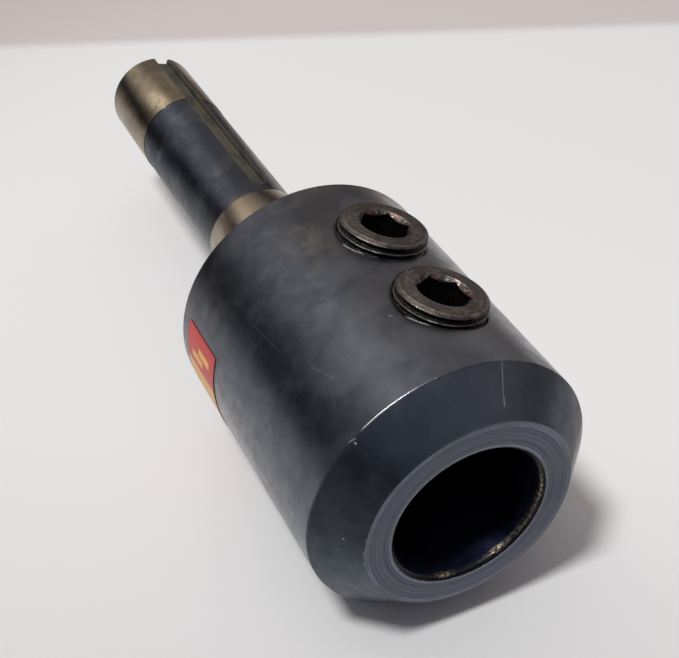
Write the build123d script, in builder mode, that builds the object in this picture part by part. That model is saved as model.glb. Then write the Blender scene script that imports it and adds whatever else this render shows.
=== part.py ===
from build123d import *
import os
from math import cos, degrees, radians, sin, tan

os.makedirs("parts", exist_ok=True)

# The holder lies on its side. Its axis is Y and its nose points to -Y. The origin is the centre of
# the bore's mouth, in the plane of the nose face, and every length along Y starts there.

# Head: the thick front part that takes the tool
head_diameter = 60.325
head_back_wall = 10.2
nose_chamfer = 7.94
head_back_chamfer = 0.8
edge_radius = 0.25

# Tool bore and its drilled end
bore_diameter = 31.75
bore_mouth_chamfer = 0.75
bore_shoulder = 0.875
drill_point_angle = 118.0

# Side screws that clamp the tool, 3/4-16 socket set screws
screws_side_angle = 15.3
front_screw_from_nose = 28.3
screw_spacing = 24.4
bore_beyond_rear_screw = 10.8
screw_thread_diameter = 19.05
screw_running_gap = 0.075
screw_length = 15.875
screw_rim_chamfer = 0.7
screw_point_chamfer = 1.9
front_tip_gap = 0.3
rear_tip_gap = 0.55
screw_countersink_rise = 1.1

# Hex socket in each screw, for a 3/8 in key
key_across_flats = 9.525
key_socket_depth = 8.7
key_mouth_width = 11.6
key_mouth_angle = 45.0
front_key_turn = -27.8
rear_key_turn = -6.0

# R8 shank: taper, relieved middle and ground rear land
neck_length = 5.5
neck_fillet = 1.2
taper_big_diameter = 31.75
taper_angle = 16.85
taper_length = 23.8
relief_length = 50.8
relief_diameter = 23.8
rear_land_length = 27.0
rear_land_diameter = 24.117
shank_end_chamfer = 0.8

# Keyway, in line with the side screws
keyway_width = 4.06
keyway_depth = 2.0
keyway_length = 74.0

# Drawbar hole, 7/16-20 thread in the end of the shank
drawbar_thread_diameter = 11.1125
drawbar_thread_length = 31.75
drawbar_drill_diameter = 9.9
drawbar_drill_depth = 38.0
drawbar_countersink = 0.9

# Label round the left side of the head
label_width = 14.9
label_wrap = 32.0
label_thickness = 0.15
label_from_nose = 54.4
label_top_angle = -74.0

# Places that follow from the sizes
head_radius = head_diameter / 2
bore_radius = bore_diameter / 2
rear_screw_from_nose = front_screw_from_nose + screw_spacing
bore_depth = rear_screw_from_nose + bore_beyond_rear_screw
head_length = bore_depth + head_back_wall
taper_start = head_length + neck_length
relief_start = taper_start + taper_length
rear_land_start = relief_start + relief_length
shank_end = rear_land_start + rear_land_length
taper_small_radius = taper_big_diameter / 2 - taper_length * tan(radians(taper_angle / 2))
screw_hole_radius = screw_thread_diameter / 2
screw_radius = screw_hole_radius - screw_running_gap
side = Vector(sin(radians(screws_side_angle)), 0, cos(radians(screws_side_angle)))
across = Vector(cos(radians(screws_side_angle)), 0, -sin(radians(screws_side_angle)))


def side_plane(along, height):
    """A plane across the side screws' direction, at a distance from the nose and from the axis."""
    return Plane(origin=side * height + Vector(0, along, 0), x_dir=across, z_dir=side)


def cross_plane(along):
    """A plane across the holder's axis, facing the nose."""
    return Plane(origin=(0, along, 0), x_dir=(1, 0, 0), z_dir=(0, -1, 0))


def cone_height(radius, whole_angle):
    """The height of a cone from its rim to its point."""
    return radius / tan(radians(whole_angle / 2))


def make_set_screw(along, tip_height, key_turn):
    """A flat-point socket set screw whose tip is tip_height from the holder's axis."""
    top = side_plane(along, tip_height + screw_length)
    with BuildPart() as screw:
        with BuildSketch(top):
            Circle(screw_radius)
        extrude(amount=-screw_length)
        rims = screw.edges().filter_by(GeomType.CIRCLE)
        chamfer(rims.sort_by(Axis(top.origin, side))[-1], screw_rim_chamfer)
        chamfer(rims.sort_by(Axis(top.origin, side))[0], screw_point_chamfer)
        # the hex runs down to a drilled point, and its mouth is chamfered round
        with BuildSketch(top):
            RegularPolygon(key_across_flats / 2, 6, major_radius=False, rotation=key_turn)
        extrude(amount=-key_socket_depth, mode=Mode.SUBTRACT)
        drill_radius = key_across_flats / 2
        point = cone_height(drill_radius, drill_point_angle)
        with Locations(top.offset(-key_socket_depth - point / 2).location):
            Cone(0, drill_radius, point, mode=Mode.SUBTRACT)
        mouth_radius = key_mouth_width / 2
        mouth = cone_height(mouth_radius, 2 * key_mouth_angle)
        with Locations(top.offset(-mouth / 2).location):
            Cone(0, mouth_radius, mouth, mode=Mode.SUBTRACT)
    return screw.part


# Holder body: head and shank turned from one bar
with BuildPart() as holder_body:
    with BuildSketch(Plane.XY):
        with BuildLine():
            Polyline(
                (0, 0),
                (head_radius - nose_chamfer, 0),
                (head_radius, nose_chamfer),
                (head_radius, head_length - head_back_chamfer),
                (head_radius - head_back_chamfer, head_length),
                (taper_big_diameter / 2, head_length),
                (taper_big_diameter / 2, taper_start),
                (taper_small_radius, relief_start),
                (relief_diameter / 2, relief_start),
                (relief_diameter / 2, rear_land_start),
                (rear_land_diameter / 2, rear_land_start),
                (rear_land_diameter / 2, shank_end - shank_end_chamfer),
                (rear_land_diameter / 2 - shank_end_chamfer, shank_end),
                (0, shank_end),
                close=True,
            )
        make_face()
    revolve(axis=Axis.Y)

    # the nose's two turned edges are broken, and the neck runs into the head with a small radius
    turned_edges = holder_body.edges().filter_by(GeomType.CIRCLE).sort_by(Axis.Y)
    fillet(turned_edges[:2], edge_radius)
    neck_root = holder_body.edges().filter_by(GeomType.CIRCLE).filter_by_position(
        Axis.Y, head_length, head_length
    )
    fillet(neck_root.sort_by(SortBy.RADIUS)[0], neck_fillet)

    # tool bore with a chamfered mouth, a shoulder and the drill's point
    drilled_radius = bore_radius - bore_shoulder
    with BuildSketch(Plane.XY):
        with BuildLine():
            Polyline(
                (0, 0),
                (bore_radius + bore_mouth_chamfer, 0),
                (bore_radius, bore_mouth_chamfer),
                (bore_radius, bore_depth),
                (drilled_radius, bore_depth),
                (0, bore_depth + cone_height(drilled_radius, drill_point_angle)),
                close=True,
            )
        make_face()
    revolve(axis=Axis.Y, mode=Mode.SUBTRACT)

    # threaded drawbar hole with a countersunk mouth and a smaller drilled end
    drawbar_radius = drawbar_thread_diameter / 2
    drawbar_drill_radius = drawbar_drill_diameter / 2
    drawbar_drill_end = shank_end - drawbar_drill_depth
    with BuildSketch(Plane.XY):
        with BuildLine():
            Polyline(
                (0, shank_end),
                (drawbar_radius + drawbar_countersink, shank_end),
                (drawbar_radius, shank_end - drawbar_countersink),
                (drawbar_radius, shank_end - drawbar_thread_length),
                (drawbar_drill_radius, shank_end - drawbar_thread_length),
                (drawbar_drill_radius, drawbar_drill_end),
                (0, drawbar_drill_end - cone_height(drawbar_drill_radius, drill_point_angle)),
                close=True,
            )
        make_face()
    revolve(axis=Axis.Y, mode=Mode.SUBTRACT)

    # screw holes through the head's wall into the bore, countersunk where the head is highest
    for along in (front_screw_from_nose, rear_screw_from_nose):
        with BuildSketch(side_plane(along, head_radius)):
            Circle(screw_hole_radius)
        extrude(amount=-head_radius, mode=Mode.SUBTRACT)
        sink_radius = screw_hole_radius + screw_countersink_rise
        with Locations(side_plane(along, head_radius - sink_radius / 2).location):
            Cone(0, sink_radius, sink_radius, mode=Mode.SUBTRACT)

    # keyway with a round end, open at the back of the shank
    with BuildSketch(side_plane(shank_end, rear_land_diameter / 2 - keyway_depth)):
        with Locations((0, -keyway_length / 2)):
            SlotOverall(keyway_length, keyway_width, rotation=90)
        with Locations((0, -keyway_width / 2)):
            Rectangle(keyway_width, keyway_width)
    extrude(amount=2 * keyway_depth, mode=Mode.SUBTRACT)

# Set screws: backed out until their tips clear the bore
set_screw_front = make_set_screw(front_screw_from_nose, bore_radius + front_tip_gap, front_key_turn)
set_screw_rear = make_set_screw(rear_screw_from_nose, bore_radius + rear_tip_gap, rear_key_turn)

# Label: a thin sheet bent round the head
label_span = degrees(label_wrap / head_radius)
label_first_angle = 90 - label_top_angle
with BuildPart() as label:
    with BuildSketch(cross_plane(label_from_nose)):
        with BuildLine():
            inner = CenterArc((0, 0), head_radius, label_first_angle, label_span)
            outer = CenterArc((0, 0), head_radius + label_thickness, label_first_angle, label_span)
            Line(inner @ 0, outer @ 0)
            Line(inner @ 1, outer @ 1)
        make_face()
    extrude(amount=-label_width)

finished = {
    "holder_body": holder_body.part,
    "set_screw_front": set_screw_front,
    "set_screw_rear": set_screw_rear,
    "label": label.part,
}
for name, piece in finished.items():
    piece.label = name
    export_step(piece, f"parts/{name}.step")
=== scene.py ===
from itertools import pairwise
from math import atan, cos, pi, radians, sin, sqrt, tan

import bmesh
import bpy
from bpy.props import FloatProperty, FloatVectorProperty, IntProperty, PointerProperty
from mathutils import Matrix, Vector


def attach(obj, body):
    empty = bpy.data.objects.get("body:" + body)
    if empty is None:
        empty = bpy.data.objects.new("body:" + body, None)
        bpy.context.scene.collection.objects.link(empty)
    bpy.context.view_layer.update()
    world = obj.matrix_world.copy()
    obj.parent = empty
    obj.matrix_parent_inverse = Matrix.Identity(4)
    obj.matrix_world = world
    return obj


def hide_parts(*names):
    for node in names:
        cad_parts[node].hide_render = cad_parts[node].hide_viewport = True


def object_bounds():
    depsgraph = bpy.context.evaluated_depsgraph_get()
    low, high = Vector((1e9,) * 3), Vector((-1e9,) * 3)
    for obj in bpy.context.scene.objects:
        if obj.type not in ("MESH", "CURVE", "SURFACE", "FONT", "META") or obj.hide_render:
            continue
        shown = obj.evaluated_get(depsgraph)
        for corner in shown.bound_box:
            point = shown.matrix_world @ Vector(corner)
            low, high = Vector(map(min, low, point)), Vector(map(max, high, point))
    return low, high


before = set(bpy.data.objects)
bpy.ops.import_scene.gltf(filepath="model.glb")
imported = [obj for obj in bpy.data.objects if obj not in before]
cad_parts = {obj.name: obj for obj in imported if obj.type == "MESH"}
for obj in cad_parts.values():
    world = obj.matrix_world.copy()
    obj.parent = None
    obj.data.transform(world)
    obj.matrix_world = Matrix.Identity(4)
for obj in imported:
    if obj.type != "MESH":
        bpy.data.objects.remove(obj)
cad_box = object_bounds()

bl_info = {
    "name": "End mill holder",
    "version": (1, 0, 0),
    "blender": (4, 5, 0),
    "location": "3D view > Sidebar > Holder",
    "description": "Builds the looks of a side-lock end mill holder around its packed solids",
    "category": "Add Mesh",
}

# The holder's axis is Y, its nose points to -Y and the origin is the centre of the bore's mouth.
MILLIMETRE = 0.001
AXIS = Vector((0, 1, 0))
# a thread's depth in pitches, on a screw and in a tapped hole
SCREW_THREAD_DEPTH = 0.6134
HOLE_THREAD_DEPTH = 0.5413
# flats round a screw, a screw's hole and the small cones in its socket
SCREW_STEPS, CONE_STEPS = 192, 96
# a point nearer the axis than this is on it
ON_AXIS = 1e-9
# what counts as one point and as a sliver in a finished mesh
WELD_DISTANCE, SLIVER_WIDTH = 2e-7, 1e-7
# keeps a mark without length from dividing by nothing
SMALLEST_RUN = 1e-12
# the middle of the lamp's pool of light on the floor, how far the pool reaches, and where it fades
POOL_X, POOL_Y = 0.078, 0.15
POOL_RADIUS = 0.34
POOL_FADE_START = 0.22


# Properties


def length(name, millimetres, description):
    """A property that holds a length, shown in the scene's own unit."""
    return FloatProperty(
        name=name, description=description, default=millimetres * MILLIMETRE,
        min=0.0, unit="LENGTH", precision=6,
    )


def angle(name, whole_degrees, description):
    """A property that holds an angle."""
    return FloatProperty(
        name=name, description=description, default=radians(whole_degrees), unit="ROTATION",
    )


def tone(name, colour, description):
    """A property that holds a colour."""
    return FloatVectorProperty(
        name=name, description=description, default=colour, size=3, min=0.0, max=1.0,
        subtype="COLOR",
    )


class HolderBodySizes(bpy.types.PropertyGroup):
    head_diameter: length("Head diameter", 60.325, "Outside of the head")
    head_length: length("Head length", 73.7, "Nose face to the back of the head")
    nose_chamfer: length("Nose chamfer", 7.94, "Chamfer between the nose face and the head's side")
    back_chamfer: length("Back chamfer", 0.8, "Chamfer round the back of the head")
    edge_break: length("Edge break", 0.25, "Radius of the two turned edges at the nose")
    fine_break: length("Fine break", 0.08, "Radius of every other turned edge")
    bore_diameter: length("Bore diameter", 31.75, "Bore that takes the tool's shank")
    bore_depth: length("Bore depth", 63.5, "Nose face to the bore's shoulder")
    bore_chamfer: length("Bore chamfer", 0.75, "Chamfer at the bore's mouth")
    bore_shoulder: length("Bore shoulder", 0.875, "Step from the bore to its drilled end")
    drill_point: angle("Drill point", 118.0, "Whole angle of a drilled hole's end")
    taper_start: length("Taper start", 79.2, "Nose face to the taper's big end")
    neck_fillet: length("Neck fillet", 1.2, "Radius between the neck and the head")
    taper_big: length("Taper big diameter", 31.75, "Diameter of the neck and of the taper's big end")
    taper_small: length("Taper small diameter", 24.7, "Diameter of the taper's small end")
    relief_start: length("Relief start", 103.0, "Nose face to the relieved part of the shank")
    relief_diameter: length("Relief diameter", 23.8, "Diameter of the relieved part")
    land_start: length("Land start", 153.8, "Nose face to the ground rear land")
    land_diameter: length("Land diameter", 24.117, "Diameter of the ground rear land")
    shank_end: length("Shank end", 180.8, "Nose face to the end of the shank")
    end_chamfer: length("End chamfer", 0.8, "Chamfer round the shank's end")
    keyway_width: length("Keyway width", 4.06, "Width of the spindle key's slot")
    keyway_depth: length("Keyway depth", 2.0, "Depth of the slot below the rear land")
    keyway_length: length("Keyway length", 74.0, "Length of the slot from the shank's end")
    drawbar_diameter: length("Drawbar thread", 11.1125, "Major diameter of the drawbar thread")
    drawbar_pitch: length("Drawbar pitch", 1.27, "Pitch of the drawbar thread")
    drawbar_length: length("Drawbar thread length", 31.75, "Length of the drawbar thread")
    drawbar_drill: length("Drawbar drill", 9.9, "Diameter of the drilled hole past the thread")
    drawbar_drill_depth: length("Drawbar drill depth", 38.0, "Depth of that hole")
    drawbar_sink: length("Drawbar countersink", 0.9, "Countersink round the drawbar thread")
    steps_round: IntProperty(
        name="Steps round", description="Flats round a turned surface", default=288, min=24)


class SetScrewSizes(bpy.types.PropertyGroup):
    side_angle: angle("Side angle", 15.3, "Angle of the side screws from straight up")
    thread_diameter: length("Thread diameter", 19.05, "Major diameter of the tapped holes")
    thread_pitch: length("Thread pitch", 1.5875, "Pitch of the set screws' thread")
    running_gap: length("Running gap", 0.075, "Gap between a screw and its hole")
    screw_length: length("Screw length", 15.875, "Length of each set screw")
    rim_chamfer: length("Rim chamfer", 0.7, "Rounded rim at the socket end")
    point_chamfer: length("Point chamfer", 1.9, "Chamfer at the flat point")
    front_along: length("Front screw place", 28.3, "Nose face to the front screw")
    rear_along: length("Rear screw place", 52.7, "Nose face to the rear screw")
    front_tip: length("Front tip height", 16.175, "Holder's axis to the front screw's tip")
    rear_tip: length("Rear tip height", 16.425, "Holder's axis to the rear screw's tip")
    sink_rise: length("Countersink rise", 1.1, "Countersink's radius beyond the hole")
    key_flats: length("Key across flats", 9.525, "Width of the hex socket")
    socket_depth: length("Socket depth", 8.7, "Depth of the hex socket's flats")
    mouth_width: length("Socket mouth", 11.6, "Diameter of the socket's chamfered mouth")
    front_turn: angle("Front key turn", -27.8, "Turn of the front screw's hex")
    rear_turn: angle("Rear key turn", -6.0, "Turn of the rear screw's hex")


class LabelSizes(bpy.types.PropertyGroup):
    width: length("Label width", 14.9, "Size along the holder's axis")
    wrap: length("Label wrap", 31.2, "Size round the head")
    thickness: length("Label thickness", 0.15, "Thickness of the vinyl")
    corner: length("Label corner", 0.35, "Radius of the label's corners")
    from_nose: length("From the nose", 54.4, "Nose face to the label's near edge")
    top_angle: angle("Top angle", -75.5, "Angle of the label's top edge from straight up")


class HolderFinish(bpy.types.PropertyGroup):
    oxide: tone("Black oxide", (0.08, 0.096, 0.128), "Colour of the blackened head")
    oxide_light: tone("Worn oxide", (0.127, 0.14, 0.158), "Colour where the black is thinner")
    oxide_dark: tone("Dark oxide", (0.086, 0.101, 0.13), "Colour of the nose chamfer and the relief")
    ground: tone("Ground steel", (0.35, 0.3, 0.215), "Brown of the ground lands and taper")
    bronze: tone("Screw bronze", (0.21, 0.193, 0.175), "Dark bronze of the set screws")
    label_red: tone("Label red", (0.53, 0.02, 0.014), "Ends of the label")
    label_yellow: tone("Label yellow", (0.8, 0.42, 0.07), "Middle of the label")
    floor: tone("Floor", (0.74, 0.735, 0.735), "Pale floor round the holder")
    beyond: tone("Beyond the floor", (0.57, 0.52, 0.51), "Grey past the floor's far edge")
    light_low: tone("Low light", (0.042, 0.044, 0.058), "Studio light near the floor")
    light_high: tone("High light", (0.41, 0.367, 0.352), "Studio light from high behind the holder")
    light_band: tone("Band of light", (0.55, 0.52, 0.505), "Light that shows as a band on the holder")
    light_side: tone("Side light", (0.215, 0.195, 0.188), "Light from the holder's right")
    light_front: tone("Front light", (0.25, 0.25, 0.285), "Light from in front of the nose")
    light_top: tone("Top light", (0.43, 0.37, 0.355), "Light from straight above")


# Shader building


class Finish:
    """A material under construction: each method adds a node and gives back its output."""

    def __init__(self, name):
        self.material = bpy.data.materials.new(name)
        self.material.use_nodes = True
        self.tree = self.material.node_tree
        self.tree.nodes.clear()
        self.output = self.tree.nodes.new("ShaderNodeOutputMaterial")
        self.shader = self.tree.nodes.new("ShaderNodeBsdfPrincipled")
        self.tree.links.new(self.shader.outputs[0], self.output.inputs["Surface"])
        self.place = self.node("ShaderNodeTexCoord").outputs["Object"]
        self.x, self.y, self.z = self.parts(self.place)
        self.colour = None

    def node(self, kind, **settings):
        made = self.tree.nodes.new(kind)
        for key, value in settings.items():
            setattr(made, key, value)
        return made

    def put(self, socket, value):
        """Links a socket, or sets its value where a number, vector or colour is given."""
        if value is None:
            return
        if isinstance(value, bpy.types.NodeSocket):
            self.tree.links.new(value, socket)
        elif socket.type == "RGBA":
            socket.default_value = (*value[:3], 1.0)
        else:
            socket.default_value = value

    def parts(self, vector):
        made = self.node("ShaderNodeSeparateXYZ")
        self.put(made.inputs[0], vector)
        return made.outputs[0], made.outputs[1], made.outputs[2]

    def flat_place(self, x, y):
        """A place on a flat sheet."""
        made = self.node("ShaderNodeCombineXYZ")
        self.put(made.inputs[0], x)
        self.put(made.inputs[1], y)
        return made.outputs[0]

    def vector_math(self, operation, first, second):
        made = self.node("ShaderNodeVectorMath", operation=operation)
        self.put(made.inputs[0], first)
        self.put(made.inputs["Scale" if operation == "SCALE" else 1], second)
        return made

    def math(self, operation, *values):
        made = self.node("ShaderNodeMath", operation=operation)
        for socket, value in zip(made.inputs, values):
            self.put(socket, value)
        return made.outputs[0]

    def add(self, *values):
        total = values[0]
        for value in values[1:]:
            total = self.math("ADD", total, value)
        return total

    def times(self, *values):
        product = values[0]
        for value in values[1:]:
            product = self.math("MULTIPLY", product, value)
        return product

    def most(self, *values):
        """The largest of the values."""
        largest = values[0]
        for value in values[1:]:
            largest = self.math("MAXIMUM", largest, value)
        return largest

    def less(self, value, taken):
        return self.math("SUBTRACT", value, taken)

    def hypot(self, first, second):
        return self.math("SQRT", self.add(self.times(first, first), self.times(second, second)))

    def noise(self, size, detail=2.0, rough=0.5, at=None):
        """Noise whose features are about size across."""
        made = self.node("ShaderNodeTexNoise")
        self.put(made.inputs["Vector"], at or self.place)
        made.inputs["Scale"].default_value = 1.0 / size
        made.inputs["Detail"].default_value = detail
        made.inputs["Roughness"].default_value = rough
        return made.outputs[0]

    def lines(self, along, size, detail=2.0):
        """Noise that changes with one number alone, as turning marks do along an axis."""
        made = self.node("ShaderNodeTexNoise", noise_dimensions="1D")
        self.put(made.inputs["W"], along)
        made.inputs["Scale"].default_value = 1.0 / size
        made.inputs["Detail"].default_value = detail
        return made.outputs[0]

    def span(self, value, low, high, to_low=0.0, to_high=1.0):
        """Maps low..high to to_low..to_high with soft ends, and holds it outside."""
        made = self.node("ShaderNodeMapRange", interpolation_type="SMOOTHSTEP")
        for socket, number in zip(made.inputs, (value, low, high, to_low, to_high)):
            self.put(socket, number)
        return made.outputs[0]

    def near(self, value, centre, reach):
        """1 where value is at centre, and 0 from reach away."""
        away = self.math("ABSOLUTE", self.less(value, centre))
        return self.span(away, 0.0, reach, 1.0, 0.0)

    def facing(self, turn, middle, reach):
        """1 where a turn is at the middle, and 0 from reach away, both in degrees."""
        return self.near(turn, radians(middle), radians(reach))

    def turned_past(self, turn, first, last):
        """0 before the first turn and 1 after the last, both in degrees."""
        return self.span(turn, radians(first), radians(last))

    def mix(self, factor, first, second):
        made = self.node("ShaderNodeMix", data_type="RGBA")
        factor_socket, first_socket, second_socket = (
            s for s in made.inputs if s.enabled and s.name in ("Factor", "A", "B"))
        self.put(factor_socket, factor)
        self.put(first_socket, first)
        self.put(second_socket, second)
        return next(s for s in made.outputs if s.enabled)

    def bump(self, height, distance, under=None):
        made = self.node("ShaderNodeBump")
        self.put(made.inputs["Height"], height)
        made.inputs["Strength"].default_value = 1.0
        made.inputs["Distance"].default_value = distance
        self.put(made.inputs["Normal"], under)
        return made.outputs[0]

    def paint(self, mask, tone, strength=None):
        """Lays a tone over the colour so far, where the mask is 1."""
        share = mask if strength is None else self.times(mask, strength)
        self.colour = self.mix(share, self.colour, tone)

    def done(self, roughness, normal=None, constants=()):
        """Feeds the shader, and sets what is the same all over on its own sockets."""
        self.put(self.shader.inputs["Base Color"], self.colour)
        self.put(self.shader.inputs["Roughness"], roughness)
        self.put(self.shader.inputs["Normal"], normal)
        for name, value in dict(constants).items():
            self.shader.inputs[name].default_value = value
        return self.material


def shade(colour, factor):
    """The same colour, darker or lighter."""
    return tuple(channel * factor for channel in colour)


def around_axis(make):
    """Distance from the holder's axis, and the angle from straight up towards +X."""
    angle_up = make.math("ARCTAN2", make.x, make.z)
    return make.hypot(make.x, make.z), angle_up


def hole_place(make, screws, along):
    """Distance from a side screw's axis, and the angle round it from across to along."""
    lean = screws.side_angle
    sideways = make.less(make.times(make.x, cos(lean)), make.times(make.z, sin(lean)))
    past = make.less(make.y, along)
    return make.hypot(sideways, past), make.math("ARCTAN2", past, sideways)


def from_screw_holes(make, screws):
    """Distance from the nearer side screw's axis."""
    front, rear = (
        hole_place(make, screws, along)[0]
        for along in (screws.front_along, screws.rear_along))
    return make.math("MINIMUM", front, rear)


def patchy(make, size, low=0.42, high=0.6, offset=(0.0, 0.0, 0.0)):
    """Soft patches, 0 to 1, with ragged edges."""
    moved = make.vector_math("ADD", make.place, offset).outputs[0]
    return make.span(make.noise(size, 4.0, 0.6, at=moved), low, high)


def rubbed_mark(make, here, first, last, half_width, strength):
    """A scratch between two places on the unrolled head, or a nick where both are the same."""
    run = last - first
    from_first = make.vector_math("SUBTRACT", here, first).outputs[0]
    along_run = make.vector_math(
        "DOT_PRODUCT", from_first, run / max(run.length_squared, SMALLEST_RUN))
    share = make.node("ShaderNodeClamp")
    make.put(share.inputs[0], along_run.outputs["Value"])
    nearest = make.vector_math("SCALE", run, share.outputs[0]).outputs[0]
    away = make.vector_math("DISTANCE", from_first, nearest).outputs["Value"]
    return make.span(away, 0.0, half_width * MILLIMETRE, strength, 0.0)


def head_marks(make, body, turn):
    """The scratches and nicks on the head, laid out as if its side were unrolled."""
    reach = body.head_diameter / 2
    here = make.flat_place(make.times(turn, reach), make.y)

    def mark(half_width, strength, turns, from_nose):
        """A mark between two turns in degrees and two distances from the nose in millimetres."""
        first, last = (
            Vector((radians(at_turn) * reach, along * MILLIMETRE, 0.0))
            for at_turn, along in zip(turns, from_nose))
        return rubbed_mark(make, here, first, last, half_width, strength)

    chamfer_scratch = mark(0.2, 0.5, (17.1, 15.2), (7.75, 2.6))
    scratch_end = mark(0.26, 0.7, (15.6, 15.3), (3.2, 2.2))
    edge_nick = mark(0.34, 0.95, (-44.1, -44.1), (7.3, 7.3))
    edge_slip = mark(0.2, 0.5, (-43.0, -45.5), (7.7, 8.1))
    chamfer_speck = mark(0.2, 0.5, (-90.0, -90.0), (3.5, 3.5))
    brighter_speck = mark(0.25, 0.8, (-83.1, -83.1), (2.9, 2.9))
    long_rub = mark(0.3, 0.13, (-50.4, -48.6), (47.5, 41.5))
    its_other_half = mark(0.22, 0.17, (-48.4, -47.4), (41.0, 36.5))
    beside_it = mark(0.2, 0.1, (-46.8, -46.4), (44.0, 40.5))
    wide_rub = mark(0.45, 0.1, (-40.4, -36.9), (27.0, 21.5))
    short_rub = mark(0.3, 0.1, (-41.0, -42.6), (18.4, 15.9))
    screw_nick = mark(0.35, 0.3, (-7.5, -6.9), (27.1, 26.5))
    return make.most(
        0.0, chamfer_scratch, scratch_end, edge_nick, edge_slip, chamfer_speck, brighter_speck,
        long_rub, its_other_half, beside_it, wide_rub, short_rub, screw_nick)


def oxide_colour(make, body, colours, turn, off_screws, patches, mottle, grain):
    """Mottled blue-black, browner where it was handled, with painted shade and painted light."""
    smudges = patchy(make, 0.009, 0.5, 0.62, (0.5, 0.9, 0.4))
    make.colour = make.mix(patches, colours.oxide, colours.oxide_light)
    make.paint(mottle, shade(colours.oxide, 0.7), 0.55)
    on_nose = make.span(make.y, body.nose_chamfer - 0.0004, body.nose_chamfer, 1.0, 0.0)
    on_shank = make.span(make.y, body.head_length + 0.001, body.head_length + 0.002)
    before_back = make.span(make.y, body.head_length - 0.0007, body.head_length + 0.0003, 1.0, 0.0)
    darker = make.mix(make.times(mottle, 0.45), colours.oxide_dark, shade(colours.oxide, 0.55))
    darker = make.mix(make.times(smudges, 0.15), darker, shade(colours.oxide_light, 1.1))
    make.paint(make.add(on_nose, on_shank), darker)

    # darker and browner towards the back of the head and round the screws
    handled = make.most(
        make.times(make.span(make.y, 0.03, 0.062), before_back,
                   make.turned_past(turn, -30.0, 0.0), 0.75),
        make.span(off_screws, 0.011, 0.02, 0.6, 0.0))
    worn_brown = make.mix(
        patchy(make, 0.01, 0.35, 0.62, (0.7, 0.4, 0.0)), (0.09, 0.09, 0.094),
        (0.16, 0.152, 0.138))
    make.paint(handled, worn_brown)

    # painted shade where the nose chamfer's sides and the relief's left reflect dark, and darker
    # towards the head's back-left
    chamfer_sides = make.most(
        make.times(make.facing(turn, -74.0, 34.0), 0.8),
        make.times(make.facing(turn, 85.0, 40.0), 0.8))
    head_left = make.most(make.times(make.facing(turn, -60.0, 30.0), 0.95), 0.3)
    painted_shade = make.most(
        make.times(on_nose, chamfer_sides),
        make.times(on_shank, make.facing(turn, -66.0, 24.0), 0.9),
        make.times(make.span(make.y, 0.046, 0.066), before_back, head_left))
    make.paint(painted_shade, shade(colours.oxide_dark, 0.25))

    # painted light: paler on the chamfer's top; painted reflection: browner by the keyway, for warm
    # light from the right
    chamfer_top_light = make.times(on_nose, make.facing(turn, 8.0, 38.0), 0.55)
    make.paint(chamfer_top_light, shade(colours.oxide_light, 1.35))
    keyway_side_reflection = make.times(on_shank, make.turned_past(turn, -8.0, 20.0), 0.7)
    make.paint(keyway_side_reflection, (0.115, 0.108, 0.09))
    by_nose = make.times(
        make.span(make.y, body.nose_chamfer, body.nose_chamfer + 0.0002),
        make.span(make.y, 0.015, 0.04, 1.0, 0.0), 0.35)
    make.paint(by_nose, shade(colours.oxide_light, 1.4))
    make.paint(
        make.times(smudges, make.span(on_nose, 0.0, 1.0, 0.4, 0.08)),
        shade(colours.oxide_light, 1.3))
    make.paint(grain, shade(colours.oxide, 0.65), 0.35)
    beside_rear_screw = make.times(
        make.facing(turn, -14.0, 16.0), make.near(make.y, 0.056, 0.013),
        make.span(off_screws, 0.011, 0.0125), mottle, 0.5)
    make.paint(beside_rear_screw, (0.24, 0.225, 0.2))


def hole_rim_wear_and_glint(make, screws, along, first, last):
    """An arc of bright steel on a screw hole's rim, between two angles in degrees: worn edge with a
    painted glint.
    """
    off_screw, round_screw = hole_place(make, screws, along)
    fade = 8.0
    return make.times(
        make.near(off_screw, screws.thread_diameter / 2 + 0.0003, 0.00035),
        make.turned_past(round_screw, first, first + fade),
        make.span(round_screw, radians(last - fade), radians(last), 1.0, 0.0),
        make.span(make.noise(0.0018, 3.0, 0.7), 0.3, 0.45, 0.35, 1.0))


def oxide_wear_and_glints(make, body, screws, radius, turn):
    """1 where the black is rubbed off to bright steel: edges, rims, scratches and nicks, with painted
    highlights and glints.
    """
    ragged = make.span(make.noise(0.0011, 3.0, 0.65), 0.5, 0.72)
    ragged_far = make.span(make.noise(0.006, 2.0, 0.5), 0.5, 0.66)
    outside = body.head_diameter / 2
    back_rim = make.times(
        make.near(make.y, body.head_length - body.back_chamfer / 2, 0.0006),
        make.span(radius, outside - 0.001, outside - 0.0008))
    edges = make.most(
        back_rim, make.near(make.y, 0.0, 0.00025), make.near(make.y, body.nose_chamfer, 0.00022))
    rubbed = make.times(edges, ragged, ragged_far, 0.8)
    # worn steel on the chamfer's outer edge, brightened over one arc as a painted highlight
    worn_arc_highlight = make.times(
        make.near(make.y, body.nose_chamfer - 0.00003, 0.0002),
        make.turned_past(turn, -41.0, -37.0),
        make.span(turn, radians(-31.0), radians(-8.0), 0.9, 0.0))
    # painted highlight: a thin pale line along the nose's edge break
    nose_edge_highlight = make.times(make.near(make.y, 0.0001, 0.00016), make.facing(turn, 40.0, 75.0), 0.4)
    return make.most(
        rubbed, worn_arc_highlight, nose_edge_highlight,
        hole_rim_wear_and_glint(make, screws, screws.front_along, -165.0, -128.0),
        hole_rim_wear_and_glint(make, screws, screws.rear_along, -174.0, -136.0),
        head_marks(make, body, turn))


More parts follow.
